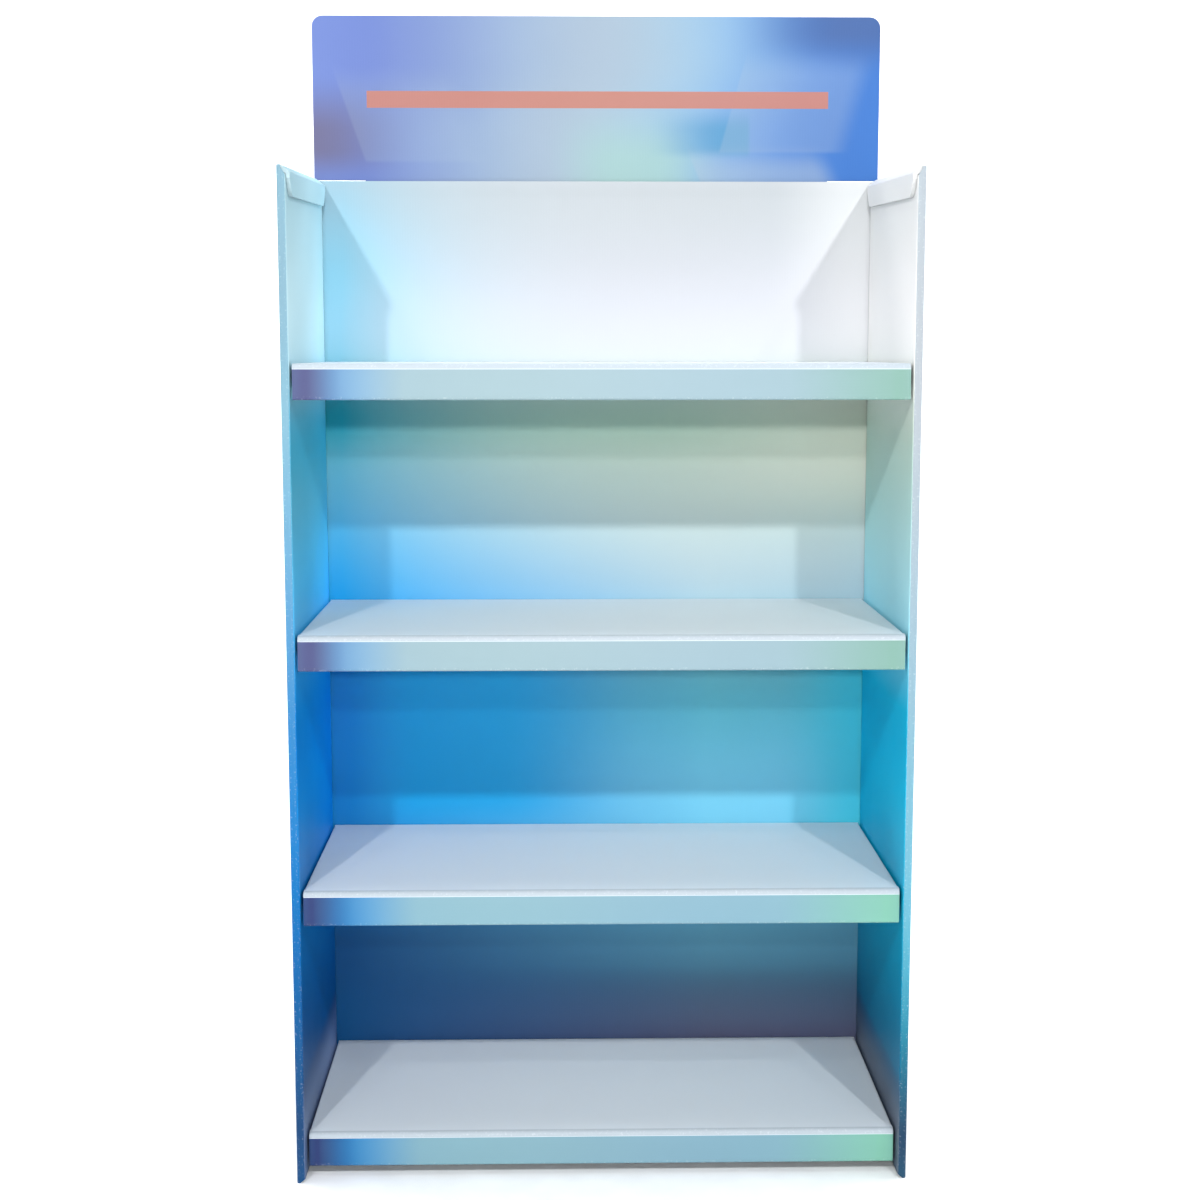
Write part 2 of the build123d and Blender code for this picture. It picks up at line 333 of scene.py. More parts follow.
class Wire:
    """A socket among a material's nodes. Arithmetic on it adds the Math node that does the same."""

    def __init__(self, tree, socket=None):
        self.tree = tree
        self.socket = socket

    def node(self, kind, settings=None, inputs=None, out=0):
        """A new node of this kind: its settings come first, then the values or links of its sockets."""
        made = self.tree.nodes.new(kind)
        for name, value in (settings or {}).items():
            if name == "stops":
                stops = made.color_ramp.elements
                stops.remove(stops[-1])
                stops[0].position, stops[0].color = value[0]
                for place, colour in value[1:]:
                    stops.new(place).color = colour
                made.color_ramp.interpolation = "CARDINAL"
            else:
                setattr(made, name, value)
        for name, value in (inputs or {}).items():
            if isinstance(value, Wire):
                self.tree.links.new(value.socket, made.inputs[name])
            else:
                made.inputs[name].default_value = value
        return Wire(self.tree, made.outputs[out])

    def math(self, operation, first, second=0.0):
        """The operation of a Math node on two values."""
        return self.node("ShaderNodeMath", {"operation": operation}, {0: first, 1: second})

    def __add__(self, other):
        return self.math("ADD", self, other)

    def __sub__(self, other):
        return self.math("SUBTRACT", self, other)

    def __rsub__(self, other):
        return self.math("SUBTRACT", other, self)

    def __mul__(self, other):
        return self.math("MULTIPLY", self, other)

    def __truediv__(self, other):
        return self.math("DIVIDE", self, other)

    def __pow__(self, other):
        return self.math("POWER", self, other)

    __radd__ = __add__
    __rmul__ = __mul__

    def sine(self):
        """The sine of the value, in radians."""
        return self.math("SINE", self)

    def fade(self, start, end):
        """0 before start, 1 after end, a smooth rise between; the other way round where end is less."""
        first, last = (0.0, 1.0) if start < end else (1.0, 0.0)
        inputs = {"Value": self, "To Min": first, "To Max": last}
        inputs.update({"From Min": min(start, end), "From Max": max(start, end)})
        return self.node("ShaderNodeMapRange", {"interpolation_type": "SMOOTHSTEP"}, inputs)

    def split(self):
        """The three components of a vector."""
        whole = self.node("ShaderNodeSeparateXYZ", None, {0: self})
        outputs = whole.socket.node.outputs
        return [Wire(self.tree, outputs[k]) for k in range(3)]

    def ramp(self, *stops):
        """The colour at this value on a smooth curve through the stops, each a place and a colour."""
        return self.node("ShaderNodeValToRGB", {"stops": stops}, {"Fac": self})

    def noise(self, place, scale, detail=2.0):
        """Noise of this scale and detail at a place."""
        return self.node("ShaderNodeTexNoise", None, {"Vector": place, "Scale": scale, "Detail": detail})

    def mix(self, first, second, part, how="MIX"):
        """The first colour with a part of the second mixed in."""
        inputs = {0: part, 6: first, 7: second}
        return self.node("ShaderNodeMix", {"data_type": "RGBA", "blend_type": how}, inputs, out=2)


def ink(red, green, blue):
    """A colour of 0 to 255 per channel, as it looks on a screen, in linear light."""
    parts = np.array([red, green, blue]) / 255
    linear = np.where(parts < 0.04045, parts / 12.92, ((parts + 0.055) / 1.055) ** 2.4)
    return (*(float(v) for v in linear), 1.0)


mist_blue = ink(110, 144, 159)
cloud_blue = ink(105, 148, 168)
sky = ink(59, 120, 165)
azure = ink(4, 97, 156)
slate = ink(14, 62, 105)
pale_grey = ink(150, 158, 164)
ice_grey = ink(121, 153, 167)
aqua = ink(86, 150, 169)
teal = ink(39, 118, 140)
plum = ink(27, 64, 88)
frost_cyan = ink(187, 222, 230)
still_cyan = ink(166, 201, 209)
lagoon_and_shelf_shadow = ink(86, 180, 212)
bright_cyan = ink(76, 188, 242)
pure_azure = ink(4, 137, 217)
deep_azure = ink(4, 77, 136)
foot_grey = ink(102, 123, 162)
foot_teal = ink(86, 101, 119)
white_ink = ink(236, 234, 230)
still_white = ink(214, 213, 211)
sage = ink(192, 213, 200)
pale_turquoise = ink(163, 224, 236)
turquoise = ink(4, 183, 218)
deep_teal = ink(4, 111, 147)
paper_white = ink(238, 240, 240)
kraft_dark = ink(166, 168, 168)
kraft_grey = ink(186, 188, 188)
kraft_pale = ink(202, 204, 204)


def film_print(name, artwork):
    """Printed board: the artwork's colour, paled in flecks along the creases where the ink cracks,
    under a satin film. The film's roughness drifts with a soft noise, and its surface has a fine
    grain and the faint ribs of the flutes under it."""
    material = bpy.data.materials.new(name)
    material.use_nodes = True
    wire = Wire(material.node_tree)
    place = wire.node("ShaderNodeTexCoord", out="Object")
    flat = wire.node("ShaderNodeAttribute", {"attribute_name": "flat"}, out="Vector")
    s, _, bend = flat.split()
    colour = artwork(wire, place, s)
    flecks = wire.noise(place, scale=420.0, detail=3.0).fade(0.56, 0.70) * bend * 0.15
    drift = wire.noise(place, scale=7.0)
    grain = wire.noise(place, scale=900.0)
    ribs = (s * (2 * math.pi / FLUTE_PITCH)).sine()
    tree = material.node_tree
    shader = tree.nodes["Principled BSDF"]
    tree.links.new(wire.mix(colour, paper_white, flecks).socket, shader.inputs["Base Color"])
    tree.links.new((drift * 0.14 + 0.40).socket, shader.inputs["Roughness"])
    relief = grain * 0.5 + ribs * 0.25 + drift * 2.0
    bump = wire.node("ShaderNodeBump", None, {"Strength": 0.10, "Distance": 0.4 * MM, "Height": relief})
    tree.links.new(bump.socket, shader.inputs["Normal"])
    shader.inputs["Specular IOR Level"].default_value = 0.16
    return material


def shell_artwork(wire, place, s):
    """Washes down the height. Outside and on the front edges a muted pair, for left and right, meets
    softly in the middle of the back; the inner walls have a brighter pair, divided at the crease,
    which is scaled from darker at the front to lighter at the rear, more on the left than on the
    right: painted light and shade that lifts the shade deeper inside the bays. Under the top shelf
    the left wall's cyan is darker, print colour with painted shade of that shelf in it."""
    x, y, z = place.split()
    height = z / back_top
    side = x.fade(-0.34, 0.34)
    left = height.ramp((0.08, slate), (0.30, azure), (0.50, sky), (0.72, cloud_blue), (0.86, mist_blue))
    right = height.ramp((0.06, plum), (0.16, teal), (0.26, aqua), (0.48, ice_grey), (0.74, pale_grey))
    outside = wire.mix(left, right, side)
    left = height.ramp(
        (0.065, foot_grey),
        (0.105, deep_azure),
        (0.36, pure_azure),
        (0.47, pure_azure),
        (0.57, bright_cyan),
        # A darker cyan band under the top shelf: print colour with painted shade of that shelf in it.
        (0.66, lagoon_and_shelf_shadow),
        (0.75, lagoon_and_shelf_shadow),
        (0.82, frost_cyan),
        (0.95, still_cyan),
    )
    right = height.ramp(
        (0.065, foot_teal),
        (0.105, deep_teal),
        (0.36, turquoise),
        (0.47, turquoise),
        (0.56, pale_turquoise),
        (0.73, sage),
        (0.82, white_ink),
        (0.95, still_white),
    )
    # Painted light: the inner walls' print is scaled from darker at the front to lighter at the rear,
    # more on the left wall, to lift the shade deeper in the bays.
    pale = y.fade(front, front + 1.3 * wall_length)
    strength = pale * (0.85 - side * 0.6) + side * 0.14 + 0.78
    within = wire.mix(wire.mix(left, right, side), strength, 1.0, "MULTIPLY")
    blur = 0.5 * MM
    last_crease = shell_length - wall_length
    left_wall = s.fade(wall_length + blur, wall_length - blur)
    right_wall = s.fade(last_crease - blur, last_crease + blur)
    return wire.mix(outside, within, left_wall + right_wall)


def bare_liner(name, tone):
    """Unprinted face: pale paper with a faint cloud and short fibres in its colour and relief."""
    material = bpy.data.materials.new(name)
    material.use_nodes = True
    wire = Wire(material.node_tree)
    place = wire.node("ShaderNodeTexCoord", out="Object")
    cloud = wire.noise(place, scale=18.0, detail=4.0)
    drawn = wire.node("ShaderNodeMapping", None, {"Vector": place, "Scale": (900, 900, 260)})
    fibre = wire.noise(drawn, scale=1.0)
    tree = material.node_tree
    shader = tree.nodes["Principled BSDF"]
    shade = tuple(0.86 * v for v in tone[:3]) + (1.0,)
    colour = wire.mix(shade, tone, (cloud * 0.6 + fibre * 0.7).fade(0.2, 0.9))
    tree.links.new(colour.socket, shader.inputs["Base Color"])
    tree.links.new((fibre * 0.12 + 0.58).socket, shader.inputs["Roughness"])
    bump = wire.node("ShaderNodeBump", None, {"Strength": 0.12, "Distance": 0.2 * MM, "Height": fibre})
    tree.links.new(bump.socket, shader.inputs["Normal"])
    shader.inputs["Specular IOR Level"].default_value = 0.3
    return material


def raw_kraft(name, artwork=None):
    """Cut edges and fluting: pale grey recycled paper, mottled, dull and fibrous. Where the die rolls
    the printed face over the cut, two thirds of the artwork's colour are mixed in."""
    material = bpy.data.materials.new(name)
    material.use_nodes = True
    wire = Wire(material.node_tree)
    place = wire.node("ShaderNodeTexCoord", out="Object")
    mottle = wire.noise(place, scale=260.0, detail=4.0)
    tree = material.node_tree
    shader = tree.nodes["Principled BSDF"]
    paper = mottle.ramp((0.25, kraft_dark), (0.55, kraft_grey), (0.8, kraft_pale))
    if artwork:
        flat = wire.node("ShaderNodeAttribute", {"attribute_name": "flat"}, out="Vector")
        paper = wire.mix(paper, artwork(wire, place, flat.split()[0]), 2 / 3)
    tree.links.new(paper.socket, shader.inputs["Base Color"])
    bump = wire.node("ShaderNodeBump", None, {"Strength": 0.3, "Distance": 0.3 * MM, "Height": mottle})
    tree.links.new(bump.socket, shader.inputs["Normal"])
    shader.inputs["Roughness"].default_value = 0.9
    shader.inputs["Specular IOR Level"].default_value = 0.15
    return material


pale_reverse = bare_liner("pale_reverse", ink(164, 166, 165))
kraft_edge = raw_kraft("kraft_edge")

wall_x = inner_half + BOARD / 2
side_x = half_width - BOARD / 2
front_y = front + BOARD / 2
rear_y = rear - BOARD / 2
slot_spans = []
for middle in (front + side_tab_inset, liner_face - side_tab_inset):
    slot_spans.append((middle - tab_length / 2 - tab_clear, middle + tab_length / 2 + tab_clear))
slot_ends = np.array(slot_spans).ravel()
notch_marks = [tuck_start - STEP, tuck_start + STEP, tuck_end - STEP, tuck_end + STEP]
top_marks = np.array([*notch_marks, seat])
shell_path = [
    (-wall_x, inner_end),
    (-wall_x, front_y),
    (-side_x, front_y),
    (-side_x, rear_y),
    (side_x, rear_y),
    (side_x, front_y),
    (wall_x, front_y),
    (wall_x, inner_end),
]
shell_marks = {
    0: inner_end - slot_ends,
    2: top_marks - front_y,
    4: rear_y - top_marks,
    6: slot_ends - front_y,
}
shell_section = folded(shell_path, CREASE, shell_marks)
middle_line = (shell_section[0] + shell_section[1]) / 2
reach_x, reach_y = np.abs(middle_line[:, 0]), middle_line[:, 1]
drop_run = 3.0 * MM
inner_part = np.clip((half_width - BOARD - reach_x) / drop_run, 0, 1)
raw_line = np.minimum(back_top - side_fall + edge_slope * (reach_y - front), back_top)
under_flap = (reach_x > half_width - BOARD) & (reach_y > tuck_start) & (reach_y < tuck_end)
shell_top = raw_line - inner_drop * inner_part - tuck_notch * under_flap
shell_foot = inner_foot * inner_part
slot_levels = []
for top in deck_tops:
    slot_levels.append((top - flange_depth - BOARD, top - flange_depth + tab_clear))
shell_levels = sorted(level for pair in slot_levels for level in pair)
top_bay_rows = np.array([4, 40, 80, 120, 160, 190]) * MM
shell_levels += list(deck_tops[0] + top_bay_rows)
shell_length = shell_section[2][-1]
wall_length = inner_end - front_y
shell_holes = []
for s0, s1 in slot_spans:
    for w0, w1 in slot_levels:
        shell_holes.append((inner_end - s1, inner_end - s0, w0, w1))
        shell_holes.append((shell_length - inner_end + s0, shell_length - inner_end + s1, w0, w1))
shell_sheet = sheet(shell_section, shell_foot, shell_top, levels=shell_levels, holes=shell_holes)

tuck_top = back_top - side_fall + edge_slope * (tuck_start - front) + tuck_rise
tuck_x = inner_half - tuck_clear - BOARD / 2
tuck_path = [
    (tuck_x, tuck_top - tuck_depth),
    (tuck_x, tuck_top - tuck_fall - BOARD / 2),
    (side_x, tuck_top - BOARD / 2),
    (side_x, tuck_top - tuck_rise - tuck_notch),
]
tuck_hang = tuck_depth - tuck_bend - BOARD
tuck_round = np.linspace(0.2, np.pi / 2, 8)
round_steps = tuck_corner * (1 - np.cos(tuck_round))
tuck_section = folded(tuck_path, CREASE, {0: np.append(round_steps, tuck_hang)})
gone = np.clip(tuck_corner - tuck_section[2], 0, tuck_corner)
tuck_inset = tuck_corner - np.sqrt(tuck_corner**2 - gone**2)
tuck_inset += tuck_lean * np.clip(1 - tuck_section[2] / tuck_hang, 0, 1)
tuck = sheet(
    tuck_section,
    tuck_start + tuck_inset,
    tuck_end - tuck_inset,
    axes=(0, 2, 1),
    channels=False,
    shear=edge_slope,
)
tuck_flats, tuck_slots = tuck[1], tuck[4]
tuck_length = tuck_depth - tuck_fall + tuck_slant
tuck_flats[:, 0] = np.where(tuck_flats[:, 0] < tuck_length, 0, shell_length / 2)
tuck_slots[tuck_slots == EDGE_SLOT] = ROLLED_SLOT
shell_print = film_print("shell_print", shell_artwork)
rolled_edge = raw_kraft("rolled_edge", shell_artwork)
shell_inks = [shell_print, pale_reverse, kraft_edge, rolled_edge]
body_shell = put_together("shell_folded", [shell_sheet, tuck, mirrored(tuck)], shell_inks)
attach(body_shell, "root")
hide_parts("body_shell")


# Back liner: one printed sheet that lines the back, seen behind the shelves. Its two margins are
# folded flat behind it, which holds it a board's thickness off the back and leaves a pocket there.
hem_gap = 0.5 * MM
hem_fold = 2 * BOARD + hem_gap
liner_half = liner_high.x
hem_width = 60.0 * MM
rear_tab_offset = 200.0 * MM

dusk = ink(82, 91, 118)
slate_teal = ink(70, 119, 143)
cyan_blue = ink(112, 188, 213)
harbour_blue = ink(95, 168, 181)
ice_blue = ink(158, 180, 189)
mint_ice = ink(184, 200, 189)
shelf_shadow_green = ink(166, 192, 176)
cloud_white = ink(188, 191, 194)
pearl = ink(168, 172, 175)
navy = ink(6, 78, 131)
cobalt = ink(3, 119, 184)
clear_azure = ink(26, 151, 205)
pool_blue = ink(97, 177, 200)
shelf_shadow_blue = ink(40, 162, 180)
powder = ink(129, 180, 199)
still_powder = ink(138, 168, 181)
spring = ink(226, 222, 206)
vivid_blue = ink(0, 146, 200)
sea_green = ink(44, 184, 204)


def liner_artwork(wire, place, s):
    """Two washes down the height, a paler one and a bluer one, both darker just below the top shelf,
    a painted shadow of it. The blue one's share is the distance from a line right of the middle,
    raised to a power that grows with the height, so that it covers half the sheet at the foot and
    only the left margin at the top. At the right a greener field, a warm one above it and a whiter
    one at the top, which is painted light lifting the shade of the right wall there, and a vivid
    blue one left of the middle."""
    x, _, z = place.split()
    height = z / back_top
    # Both washes darken at 0.75, just below the top shelf: painted shadow of that shelf on the sheet.
    wash = height.ramp(
        (0.06, dusk),
        (0.13, slate_teal),
        (0.33, cyan_blue),
        (0.46, harbour_blue),
        (0.56, ice_blue),
        (0.69, mint_ice),
        (0.75, shelf_shadow_green),
        (0.82, cloud_white),
        (0.98, pearl),
    )
    left = height.ramp(
        (0.07, navy),
        (0.17, navy),
        (0.34, cobalt),
        (0.47, cobalt),
        (0.56, clear_azure),
        (0.69, pool_blue),
        (0.75, shelf_shadow_blue),
        (0.82, powder),
        (0.91, powder),
        (0.99, still_powder),
    )
    field = x.fade(0.24, 0.36) * height.fade(0.22, 0.30) * height.fade(0.55, 0.50) * 0.8
    wave = x + wire.noise(place, scale=2.2) * 0.05 - 0.025
    far = wire.math("MAXIMUM", (0.15 - wave) / 0.49, 0.0)
    share = far ** (height.fade(0.48, 0.90) * 3.1 + 0.9)
    # Painted light: a whiter field at the top of the right margin lifts the shade that the right wall
    # casts there.
    margin = x.fade(0.22, 0.35) * height.fade(0.78, 0.84) * 0.3
    wash = wire.mix(wire.mix(wash, sea_green, field), white_ink, margin)
    warm = x.fade(0.05, 0.36) * height.fade(0.61, 0.70) * height.fade(0.81, 0.78)
    wash = wire.mix(wash, spring, warm * 0.55)
    art = wire.mix(wash, left, wire.math("MINIMUM", share, 1.0))
    vivid = x.fade(-0.35, -0.24) * x.fade(0.06, -0.14)
    vivid = vivid * height.fade(0.26, 0.33) * height.fade(0.55, 0.48)
    return wire.mix(art, vivid_blue, vivid * 0.85)


liner_print = film_print("liner_print", liner_artwork)
hem_y = liner_face + hem_fold - BOARD / 2
liner_y = liner_face + BOARD / 2
liner_x = liner_half - BOARD / 2
liner_path = [
    (liner_half - hem_width, hem_y),
    (liner_x, hem_y),
    (liner_x, liner_y),
    (-liner_x, liner_y),
    (-liner_x, hem_y),
    (hem_width - liner_half, hem_y),
]
rear_reach = tab_length / 2 + tab_clear
rear_span = (rear_tab_offset - rear_reach, rear_tab_offset + rear_reach)
rear_ends = np.array([rear_span[0], rear_span[1], -rear_span[0], -rear_span[1]])
liner_section = folded(liner_path, CREASE, {2: liner_x - rear_ends})
liner_middle = liner_section[2][-1] / 2
liner_holes = []
for w0, w1 in slot_levels:
    liner_holes.append((liner_middle - rear_span[1], liner_middle - rear_span[0], w0, w1))
    liner_holes.append((liner_middle + rear_span[0], liner_middle + rear_span[1], w0, w1))
liner_levels = sorted(level for pair in slot_levels for level in pair)
liner_sheet = sheet(liner_section, 0.0, liner_high.z, levels=liner_levels, holes=liner_holes)
back_liner = put_together("liner_folded", [liner_sheet], [liner_print, pale_reverse, kraft_edge])
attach(back_liner, "root")
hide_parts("back_liner")


# Header card: one flat printed card with rounded top corners, its reverse left plain. Its tongue
# goes down into the pocket behind the liner, and its shoulders sit on the tops of the sides.
header_low, header_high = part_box("header_card")
header_corner = 14.0 * MM
tongue_half = 303.0 * MM
tongue_corner = 20.0 * MM

violet_blue = ink(91, 110, 168)
periwinkle = ink(92, 110, 163)
haze = ink(136, 152, 166)
morning_blue = ink(120, 138, 165)
light_blue = ink(119, 150, 176)
bright_blue = ink(74, 116, 172)
strong_blue = ink(44, 96, 164)
mauve = ink(90, 88, 120)
deep_blue = ink(52, 80, 130)
sea_glass = ink(66, 124, 160)
mint_haze = ink(134, 165, 160)
coral = ink(164, 104, 88)


def header_artwork(wire, place, s):
    """A wash across the card, violet blue to haze to blue, which leans to the left below. A mauve
    field low at the left, a deep one at the top right, mint and teal low in the middle, a few pale
    panes that overlap, and a plain coral bar."""
    x, _, z = place.split()
    up = (z - back_top) / header_rise
    across = x / (2 * half_width) + 0.5
    lean = up.fade(0.75, 0.25) * across.fade(0.0, 0.2) * 0.06
    drift = across + lean + wire.noise(place, scale=3.0) * 0.06 - 0.03
    wash = drift.ramp(
        (0.0, violet_blue),
        (0.14, periwinkle),
        (0.34, morning_blue),
        (0.53, haze),
        (0.70, light_blue),
        (0.86, bright_blue),
        (1.0, strong_blue),
    )
    low_left = across.fade(0.20, 0.0) * up.fade(0.66, 0.28) * up.fade(-0.05, 0.2)
    art = wire.mix(wash, mauve, low_left)
    top_right = across.fade(0.72, 0.94) * up.fade(0.62, 0.92)
    art = wire.mix(art, deep_blue, top_right * 0.9)
    low_middle = across.fade(0.40, 0.54) * across.fade(0.74, 0.60) * up.fade(0.5, 0.1)
    art = wire.mix(art, mint_haze, low_middle * 0.8)
    glass = across.fade(0.58, 0.74) * across.fade(0.775, 0.765)
    glass = glass * up.fade(0.12, 0.20) * up.fade(0.46, 0.30)
    art = wire.mix(art, sea_glass, glass * 0.9)
    # Each pane's left, right, foot and top as parts of the card, its slope and its strength.
    panes = [
        (0.10, 0.33, 0.10, 0.72, 0.10, 0.16),
        (0.70, 0.94, 0.16, 0.82, -0.08, 0.24),
        (0.68, 0.94, -0.10, 0.24, 0.12, 0.50),
    ]
    for left, right, foot, top, slope, strength in panes:
        slid = across + up * slope
        sides = slid.fade(left, left + 0.006) * slid.fade(right, right - 0.05)
        inside = sides * up.fade(foot, foot + 0.03) * up.fade(top, top - 0.20)
        art = wire.mix(art, haze, inside * strength)
    bar = across.fade(0.094, 0.095) * across.fade(0.910, 0.909)
    bar = bar * up.fade(0.441, 0.444) * up.fade(0.547, 0.544)
    return wire.mix(art, coral, bar * 0.92)


header_print = film_print("header_print", header_artwork)
header_y = header_low.y + BOARD / 2
round_in = 1 - np.cos(np.linspace(0.15, np.pi / 2, 9))
tongue_in = half_width - tongue_half
header_stops = np.concatenate([
    header_corner * round_in,
    [tongue_in - STEP, tongue_in + STEP],
    tongue_in + tongue_corner * round_in,
])
header_stops = np.concatenate([header_stops, 2 * half_width - header_stops])
header_section = folded([(half_width, header_y), (-half_width, header_y)], CREASE, {0: header_stops})
to_side = half_width - np.abs(header_section[0][:, 0])
corner_gone = np.clip(header_corner - to_side, 0, header_corner)
header_top = header_high.z - header_corner + np.sqrt(header_corner**2 - corner_gone**2)
tongue_gone = np.clip(tongue_corner - (to_side - tongue_in), 0, tongue_corner)
tongue_foot = header_low.z + tongue_corner - np.sqrt(tongue_corner**2 - tongue_gone**2)
header_foot = np.where(to_side < tongue_in, back_top, tongue_foot)
header_sheet = sheet(header_section, header_foot, header_top)
header_card = put_together("header_printed", [header_sheet], [header_print, pale_reverse, kraft_edge])
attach(header_card, "root")
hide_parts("header_card")


# Shelf trays: four white boards, one sheet each. The front is folded down into a printed lip and
# turned back up behind it, the side and rear flanges are folded down, and tabs folded out of the
# flanges hang in the slots of the inner walls and the liner.
lip_height = 42.0 * MM
lip_crease = 5.5 * MM
lip_gap = 1.0 * MM
return_clear = 1.0 * MM
shelf_side_clear = 2.5 * MM
shelf_rear_clear = 1.0 * MM
flange_relief = 2.0 * MM
flange_margin = 10.0 * MM
end_inset = 0.5 * MM
tab_start = 2.0 * MM
tab_past = 0.5 * MM
off_the_print = 1.0
print_from = 33.0 * MM
print_to = 72.8 * MM
fold_band_start = print_to + 1 * MM
fold_band_fade = print_to + 5 * MM
fold_band_end = print_to + 12 * MM
shelf_print_half = 357.0 * MM

violet = ink(74, 82, 118)
lip_sky = ink(97, 133, 164)
lip_haze = ink(132, 154, 161)
mint = ink(117, 150, 141)
indigo = ink(40, 62, 105)
lip_azure = ink(54, 116, 161)
lip_aqua = ink(113, 149, 161)
jade = ink(112, 164, 147)
deck_white = ink(211, 218, 223)
fold_grey = ink(164, 173, 180)


def shelf_artwork(wire, place, s):
    """White board, greyer along the front fold, with a printed band on the lip: violet at the left end
    through sky and haze to mint at the right, and deeper inks the lower the shelf hangs."""
    x, _, z = place.split()
    across = x / (2 * shelf_print_half) + 0.5
    pale = across.ramp(
        (0.0, violet),
        (0.03, violet),
        (0.08, lip_sky),
        (0.18, lip_haze),
        (0.80, lip_haze),
        (0.97, mint),
    )
    deep = across.ramp(
        (0.0, indigo),
        (0.02, indigo),
        (0.085, lip_azure),
        (0.19, lip_aqua),
        (0.80, lip_aqua),
        (0.97, jade),
    )
    band = wire.mix(deep, pale, z.fade(0.25, 0.70))
    blur = 0.1 * MM
    inside = s.fade(print_from - blur, print_from) * s.fade(print_to + blur, print_to)
    # A greyer band over the front fold and just behind it.
    fold_band = s.fade(print_to, fold_band_start) * s.fade(fold_band_end, fold_band_fade)
    board = wire.mix(deck_white, fold_grey, fold_band)
    return wire.mix(board, band, inside)


shelf_print = film_print("shelf_print", shelf_artwork)
white_reverse = bare_liner("white_reverse", ink(236, 237, 234))
for name, top in zip(shelf_names, deck_tops):
    lip_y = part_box(name)[0].y
    shelf_half = inner_half - shelf_side_clear
    return_y = lip_y + 2 * BOARD + lip_gap
    shelf_end = liner_face - shelf_rear_clear
    deck_z = top - BOARD / 2
    flange_foot = top - flange_depth
    tab_z = flange_foot - BOARD / 2
    flange_front = return_y + flange_relief
    flange_rear = shelf_end - BOARD - flange_relief
    tray_path = [
        (return_y - BOARD / 2, top - BOARD - return_clear),
        (return_y - BOARD / 2, top - lip_height + BOARD / 2),
        (lip_y + BOARD / 2, top - lip_height + BOARD / 2),
        (lip_y + BOARD / 2, deck_z),
        (shelf_end - BOARD / 2, deck_z),
        (shelf_end - BOARD / 2, flange_foot),
    ]
    relief = np.array([flange_front, flange_rear])
    relief = np.concatenate([relief - STEP, relief + STEP]) - lip_y - BOARD / 2
    rear_run = deck_z - flange_foot
    tray_section = folded(
        tray_path,
        [CREASE, CREASE, lip_crease, CREASE],
        {3: relief, 4: [rear_run - tab_start]},
    )
    face_y, face_z = tray_section[0].T
    on_deck = (face_z > deck_z) & (face_y > flange_front) & (face_y < flange_rear)
    reach = np.where(on_deck, shelf_half - flange_margin, shelf_half - end_inset)
    tab_edges = [rear_tab_offset - tab_length / 2, rear_tab_offset + tab_length / 2]
    tray_levels = tab_edges + [-edge for edge in tab_edges]
    tray_last = tray_section[2][-1]
    tray_holes = []
    for low_edge, high_edge in (tab_edges, [-tab_edges[1], -tab_edges[0]]):
        tray_holes.append((tray_last - tab_start, tray_last, low_edge, high_edge))
    parts = [sheet(tray_section, -reach, reach, axes=(1, 2, 0), levels=tray_levels, holes=tray_holes)]

    flange_x = shelf_half - BOARD / 2
    flange_path = [(shelf_half - flange_margin, deck_z), (flange_x, deck_z), (flange_x, flange_foot)]
    flange_section = folded(flange_path, CREASE, {1: [rear_run - tab_start]})
    flange_last = flange_section[2][-1]
    flange_levels, flange_holes = [], []
    side_tab_path = [
        (flange_x, flange_foot + tab_start),
        (flange_x, tab_z),
        (inner_half + BOARD + tab_past, tab_z),
    ]
    side_tab_section = folded(side_tab_path, CREASE)
    sides = []
    for middle in (front + side_tab_inset, liner_face - side_tab_inset):
        span = (middle - tab_length / 2, middle + tab_length / 2)
        flange_levels += span
        flange_holes.append((flange_last - tab_start, flange_last, *span))
        sides.append(sheet(side_tab_section, *span, axes=(0, 2, 1), channels=False))
    sides.append(
        sheet(
            flange_section,
            flange_front,
            flange_rear,
            axes=(0, 2, 1),
            levels=flange_levels,
            holes=flange_holes,
            channels=False,
        )
    )
    rear_tab_path = [
        (shelf_end - BOARD / 2, flange_foot + tab_start),
        (shelf_end - BOARD / 2, tab_z),
        (liner_face + BOARD + tab_past, tab_z),
    ]
    sides.append(sheet(folded(rear_tab_path, CREASE), *tab_edges, axes=(1, 2, 0), channels=False))
    for part in sides:
        part[1][:, 0] += off_the_print
    parts += sides + [mirrored(part) for part in sides]
    tray = put_together(name.replace("shelf", "tray"), parts, [shelf_print, white_reverse, kraft_edge])
    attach(tray, "root")
    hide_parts(name)


# Studio: a pale seamless backdrop of paper that runs from the floor up behind the stand. Lamps left
# and right of the camera throw the shadows of walls and lips, and panels in front, at the sides,
# behind and overhead fill them, in an even pale surround.
backdrop_x = np.linspace(-2.5, 2.5, 11)
backdrop_front = -2.7
backdrop_top = 4.5
sweep_start = 2.2
sweep_radius = 1.5
turn = np.linspace(0, np.pi / 2, 17)
sweep_y = sweep_start + sweep_radius * np.sin(turn)
sweep_z = sweep_radius - sweep_radius * np.cos(turn)
sweep = np.concatenate([
    [[backdrop_front, 0.0]],
    np.column_stack([sweep_y, sweep_z]),
    [[sweep_y[-1], backdrop_top]],
])
grid = np.empty((len(sweep), len(backdrop_x), 3))
grid[..., 0] = backdrop_x
grid[..., 1:] = sweep[:, None, :]
numbers = np.arange(grid.shape[0] * grid.shape[1]).reshape(grid.shape[:2])
backdrop_mesh = bpy.data.meshes.new("backdrop")
backdrop_mesh.from_pydata(grid.reshape(-1, 3).tolist(), [], strip_quads(numbers)[:, ::-1].tolist())
backdrop_mesh.polygons.foreach_set("use_smooth", np.ones(len(backdrop_mesh.polygons), bool))
backdrop = bpy.data.objects.new("backdrop", backdrop_mesh)
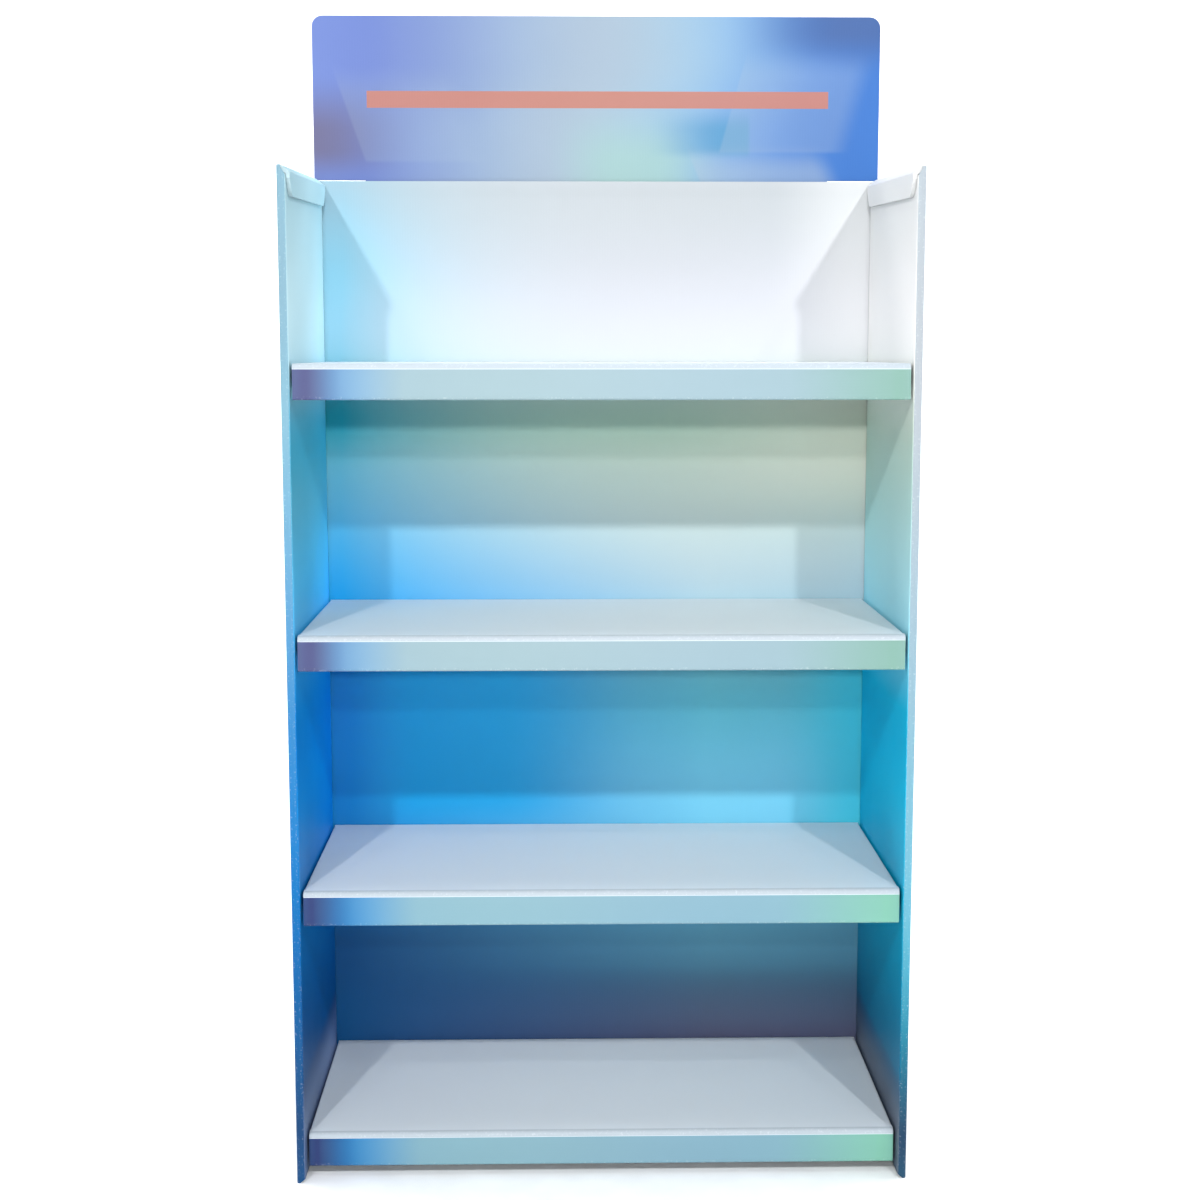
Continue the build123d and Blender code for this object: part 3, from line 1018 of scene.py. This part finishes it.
bpy.context.scene.collection.objects.link(backdrop)
backdrop_mesh.materials.append(bare_liner("backdrop_paper", ink(246, 247, 248)))
backdrop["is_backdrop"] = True


lamp_tint = (0.97, 0.985, 1.0)
surround_tint = (0.94, 0.97, 1.0, 1.0)
surround_light = 0.20
surround_seen = 0.83
lamp_shift = 0.027
lamp_y = front - 2.12
shelf_aim = (0, 0, 0.75)


def soft_lamp(name, place, aim, size, power):
    """A flat lamp of the given size at a place, turned so that its face looks at the aim."""
    lamp = bpy.data.lights.new(name, "AREA")
    lamp.shape = "RECTANGLE"
    lamp.size, lamp.size_y = size
    lamp.energy = power
    lamp.color = lamp_tint
    holder = bpy.data.objects.new(name, lamp)
    way = np.array(aim) - np.array(place)
    flat_reach = float(np.hypot(way[0], way[1]))
    holder.location = place
    holder.rotation_euler = (math.atan2(flat_reach, -way[2]), 0, math.atan2(-way[0], way[1]))
    bpy.context.scene.collection.objects.link(holder)


for side in (-1, 1):
    soft_lamp("key_lamp", (side * 0.905 + lamp_shift, lamp_y, 2.06), shelf_aim, (0.07, 0.07), 30.0)
    soft_lamp("high_lamp", (side * 1.27 + lamp_shift, lamp_y, 2.6), shelf_aim, (0.07, 0.07), 6.3)
    soft_lamp("side_panel", (side * 3.2, -0.1, 1.2), (0, -0.1, 0.5), (1.2, 2.2), 38.0)
    soft_lamp("rear_panel", (side * 3.0, 1.2, 1.7), (0, 0, 0.7), (1.6, 2.0), 44.0)
    soft_lamp("backdrop_lamp", (side * 2.2, 1.4, 3.4), (side * 1.2, 3.6, 0.8), (1.6, 1.0), 80.0)
soft_lamp("far_lamp", (0, front - 4.4, 2.06), shelf_aim, (0.3, 0.12), 34.0)
soft_lamp("front_panel", (0, -6.5, 1.8), (0, 0, 0.6), (0.5, 0.2), 138.0)
soft_lamp("overhead_panel", (0, 0.2, 4.4), (0, 0.25, 0), (3.0, 2.0), 78.0)

world = bpy.data.worlds.new("surround")
world.use_nodes = True
sky_wire = Wire(world.node_tree)
seen = sky_wire.node("ShaderNodeLightPath", out="Is Camera Ray")
surround = world.node_tree.nodes["Background"]
surround.inputs["Color"].default_value = surround_tint
world.node_tree.links.new((seen * surround_seen + surround_light).socket, surround.inputs["Strength"])
bpy.context.scene.world = world
bpy.context.scene.view_settings.view_transform = "Standard"

look_down = math.radians(7.352)
look_right = math.radians(1.162)
camera = bpy.data.cameras.new("camera")
camera.lens = 58.04
camera.sensor_width = 36.0
viewer = bpy.data.objects.new("camera", camera)
viewer.location = (-0.0484, front - 2.2414, 1.0009)
viewer.rotation_euler = (math.pi / 2 - look_down, 0, -look_right)
bpy.context.scene.collection.objects.link(viewer)
bpy.context.scene.camera = viewer

visual_box = [list(corner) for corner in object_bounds()]
